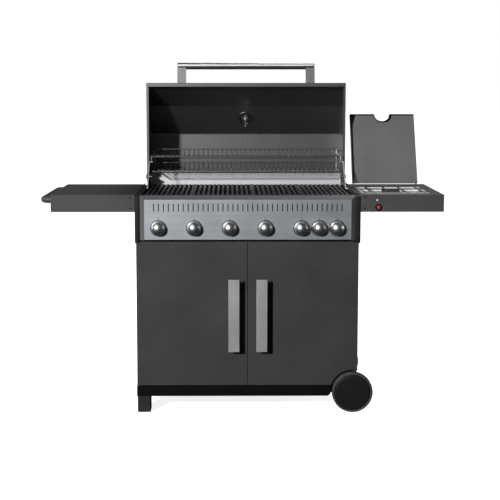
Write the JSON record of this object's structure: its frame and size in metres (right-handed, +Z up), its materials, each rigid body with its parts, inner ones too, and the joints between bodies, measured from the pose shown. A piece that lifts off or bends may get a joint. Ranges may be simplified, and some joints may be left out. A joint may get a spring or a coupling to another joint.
{
  "type": "gas barbecue grill",
  "caption": "Gas barbecue on a cabinet cart, with a hinged lid, folding warming rack, side burner, side tables, push-and-turn knobs, doors and wheels.",
  "frame": {"origin": "on the floor under the middle of the whole barbecue as it stands with both lids open", "axes": "+Z up, the front with the doors and knobs faces -Y, +X to the right seen from the front"},
  "size_m": [1.568, 0.6646, 1.374],
  "materials": {
    "dark_paint": "anthracite powder coat, satin",
    "black_paint": "black powder coat, satin",
    "table_paint": "anthracite powder coat, satin",
    "lid_paint": "black heat-proof enamel",
    "grey_paint": "mid-grey powder coat, satin",
    "stainless": "brushed stainless steel",
    "bright_steel": "bright stainless sheet",
    "wire_steel": "plated wire",
    "chrome": "polished chrome",
    "cast_iron": "matt enamelled cast iron",
    "brass": "machined brass",
    "black_plastic": "black moulded plastic",
    "leg_plastic": "dark grey moulded plastic",
    "wheel_rubber": "black rubber and plastic",
    "red_plastic": "red button",
    "zinc": "plain zinc-plated"
  },
  "bodies": {
    "cart": {"base_frame": "black_paint", "axle": "zinc", "left_legs": "leg_plastic", "bottom_shelf": "dark_paint", "left_side_panel": "dark_paint", "right_side_panel": "dark_paint", "rear_panel": "dark_paint", "front_rail": "black_paint", "fascia_panel": "stainless", "fascia_frame": "grey_paint", "fascia_cheeks": "black_plastic", "knob_bezels": "chrome", "gas_manifold": "zinc", "valve_bodies": "brass", "firebox": "black_paint", "burners": "bright_steel", "heat_tents": "bright_steel", "grates": "cast_iron", "rear_baffle": "bright_steel", "lid_hinge_ears": "black_paint", "hinge_pins": "zinc", "left_table": "table_paint", "right_table": "table_paint", "table_mounts": "black_paint", "towel_rail": "black_paint", "side_burner_bowl": "bright_steel", "side_burner_head": "cast_iron", "pot_support": "cast_iron", "igniter_housing": "black_plastic", "screws": "zinc"},
    "lid": {"lid_shell": "lid_paint", "lid_ends": "lid_paint", "lid_handle_bar": "stainless", "lid_handle_posts": "black_plastic", "thermometer": "stainless"},
    "warming_rack": {"warming_rack": "wire_steel"},
    "rack_legs": {"rack_legs": "wire_steel"},
    "side_burner_lid": {"side_burner_lid": "table_paint"},
    "door_left": {"door_left": "dark_paint", "door_left_pull": "stainless"},
    "door_right": {"door_right": "dark_paint", "door_right_pull": "stainless"},
    "wheel_front": {"wheel_front": "wheel_rubber"},
    "wheel_rear": {"wheel_rear": "wheel_rubber"},
    "igniter_button": {"igniter_button": "red_plastic"},
    "grease_tray": {"grease_tray": "bright_steel"},
    "valve_stem_1": {"valve_stem_1": "brass"},
    "knob_1": {"knob_1": "chrome"},
    "valve_stem_2": {"valve_stem_2": "brass"},
    "knob_2": {"knob_2": "chrome"},
    "valve_stem_3": {"valve_stem_3": "brass"},
    "knob_3": {"knob_3": "chrome"},
    "valve_stem_4": {"valve_stem_4": "brass"},
    "knob_4": {"knob_4": "chrome"},
    "valve_stem_5": {"valve_stem_5": "brass"},
    "knob_5": {"knob_5": "chrome"},
    "valve_stem_6": {"valve_stem_6": "brass"},
    "knob_6": {"knob_6": "chrome"},
    "valve_stem_side": {"valve_stem_side": "brass"},
    "knob_side": {"knob_side": "chrome"}
  },
  "joints": [
    {"name": "lid_hinge", "type": "hinge", "parent": "cart", "child": "lid", "pos_m": [0.021, 0.1207, 0.895], "axis": [1, 0, 0], "range_deg": [0, 94]},
    {"name": "rack_pivot", "type": "hinge", "parent": "lid", "child": "warming_rack", "pos_m": [0.021, 0.2157, 0.997], "axis": [1, 0, 0], "range_deg": [-94, 0]},
    {"name": "rack_leg_pivot", "type": "hinge", "parent": "cart", "child": "rack_legs", "pos_m": [0.021, -0.0543, 0.862], "axis": [1, 0, 0], "range_deg": [0, 94]},
    {"name": "side_lid_hinge", "type": "hinge", "parent": "cart", "child": "side_burner_lid", "pos_m": [0.60175, 0.0757, 0.874], "axis": [1, 0, 0], "range_deg": [0, 112]},
    {"name": "door_left_hinge", "type": "hinge", "parent": "cart", "child": "door_left", "pos_m": [-0.403, -0.2393, 0.4], "axis": [0, 0, -1], "range_deg": [0, 100]},
    {"name": "door_right_hinge", "type": "hinge", "parent": "cart", "child": "door_right", "pos_m": [0.445, -0.2393, 0.4], "axis": [0, 0, 1], "range_deg": [0, 100]},
    {"name": "wheel_front_spin", "type": "hinge", "parent": "cart", "child": "wheel_front", "pos_m": [0.4338, -0.2488, 0.0798], "axis": [0, 1, 0], "continuous": true},
    {"name": "wheel_rear_spin", "type": "hinge", "parent": "cart", "child": "wheel_rear", "pos_m": [0.4338, 0.1802, 0.0798], "axis": [0, 1, 0], "continuous": true},
    {"name": "igniter_push", "type": "slide", "parent": "cart", "child": "igniter_button", "axis": [0, 1, 0], "range_m": [0, 0.004], "stiffness_N_per_m": 400, "springref_m": -0.003},
    {"name": "tray_slide", "type": "slide", "parent": "cart", "child": "grease_tray", "axis": [0, 1, 0], "range_m": [0, 0.2]},
    {"name": "valve_turn_1", "type": "hinge", "parent": "cart", "child": "valve_stem_1", "pos_m": [-0.32025, -0.2893, 0.7374], "axis": [0, -1, 0], "range_deg": [0, 180]},
    {"name": "knob_push_1", "type": "slide", "parent": "valve_stem_1", "child": "knob_1", "axis": [0, 1, 0], "range_m": [0, 0.003], "stiffness_N_per_m": 600, "springref_m": -0.003},
    {"name": "valve_turn_2", "type": "hinge", "parent": "cart", "child": "valve_stem_2", "pos_m": [-0.18375, -0.2893, 0.7374], "axis": [0, -1, 0], "range_deg": [0, 180]},
    {"name": "knob_push_2", "type": "slide", "parent": "valve_stem_2", "child": "knob_2", "axis": [0, 1, 0], "range_m": [0, 0.003], "stiffness_N_per_m": 600, "springref_m": -0.003},
    {"name": "valve_turn_3", "type": "hinge", "parent": "cart", "child": "valve_stem_3", "pos_m": [-0.04725, -0.2893, 0.7374], "axis": [0, -1, 0], "range_deg": [0, 180]},
    {"name": "knob_push_3", "type": "slide", "parent": "valve_stem_3", "child": "knob_3", "axis": [0, 1, 0], "range_m": [0, 0.003], "stiffness_N_per_m": 600, "springref_m": -0.003},
    {"name": "valve_turn_4", "type": "hinge", "parent": "cart", "child": "valve_stem_4", "pos_m": [0.08925, -0.2893, 0.7374], "axis": [0, -1, 0], "range_deg": [0, 180]},
    {"name": "knob_push_4", "type": "slide", "parent": "valve_stem_4", "child": "knob_4", "axis": [0, 1, 0], "range_m": [0, 0.003], "stiffness_N_per_m": 600, "springref_m": -0.003},
    {"name": "valve_turn_5", "type": "hinge", "parent": "cart", "child": "valve_stem_5", "pos_m": [0.22575, -0.2893, 0.7374], "axis": [0, -1, 0], "range_deg": [0, 180]},
    {"name": "knob_push_5", "type": "slide", "parent": "valve_stem_5", "child": "knob_5", "axis": [0, 1, 0], "range_m": [0, 0.003], "stiffness_N_per_m": 600, "springref_m": -0.003},
    {"name": "valve_turn_6", "type": "hinge", "parent": "cart", "child": "valve_stem_6", "pos_m": [0.36225, -0.2893, 0.7374], "axis": [0, -1, 0], "range_deg": [0, 180]},
    {"name": "knob_push_6", "type": "slide", "parent": "valve_stem_6", "child": "knob_6", "axis": [0, 1, 0], "range_m": [0, 0.003], "stiffness_N_per_m": 600, "springref_m": -0.003},
    {"name": "valve_turn_side", "type": "hinge", "parent": "cart", "child": "valve_stem_side", "pos_m": [0.294, -0.2893, 0.7374], "axis": [0, -1, 0], "range_deg": [0, 180]},
    {"name": "knob_push_side", "type": "slide", "parent": "valve_stem_side", "child": "knob_side", "axis": [0, 1, 0], "range_m": [0, 0.003], "stiffness_N_per_m": 600, "springref_m": -0.003}
  ],
  "couplings": [
    {"joint": "rack_pivot", "follows": "lid_hinge", "ratio": -1},
    {"joint": "rack_leg_pivot", "follows": "lid_hinge", "ratio": 1}
  ]
}
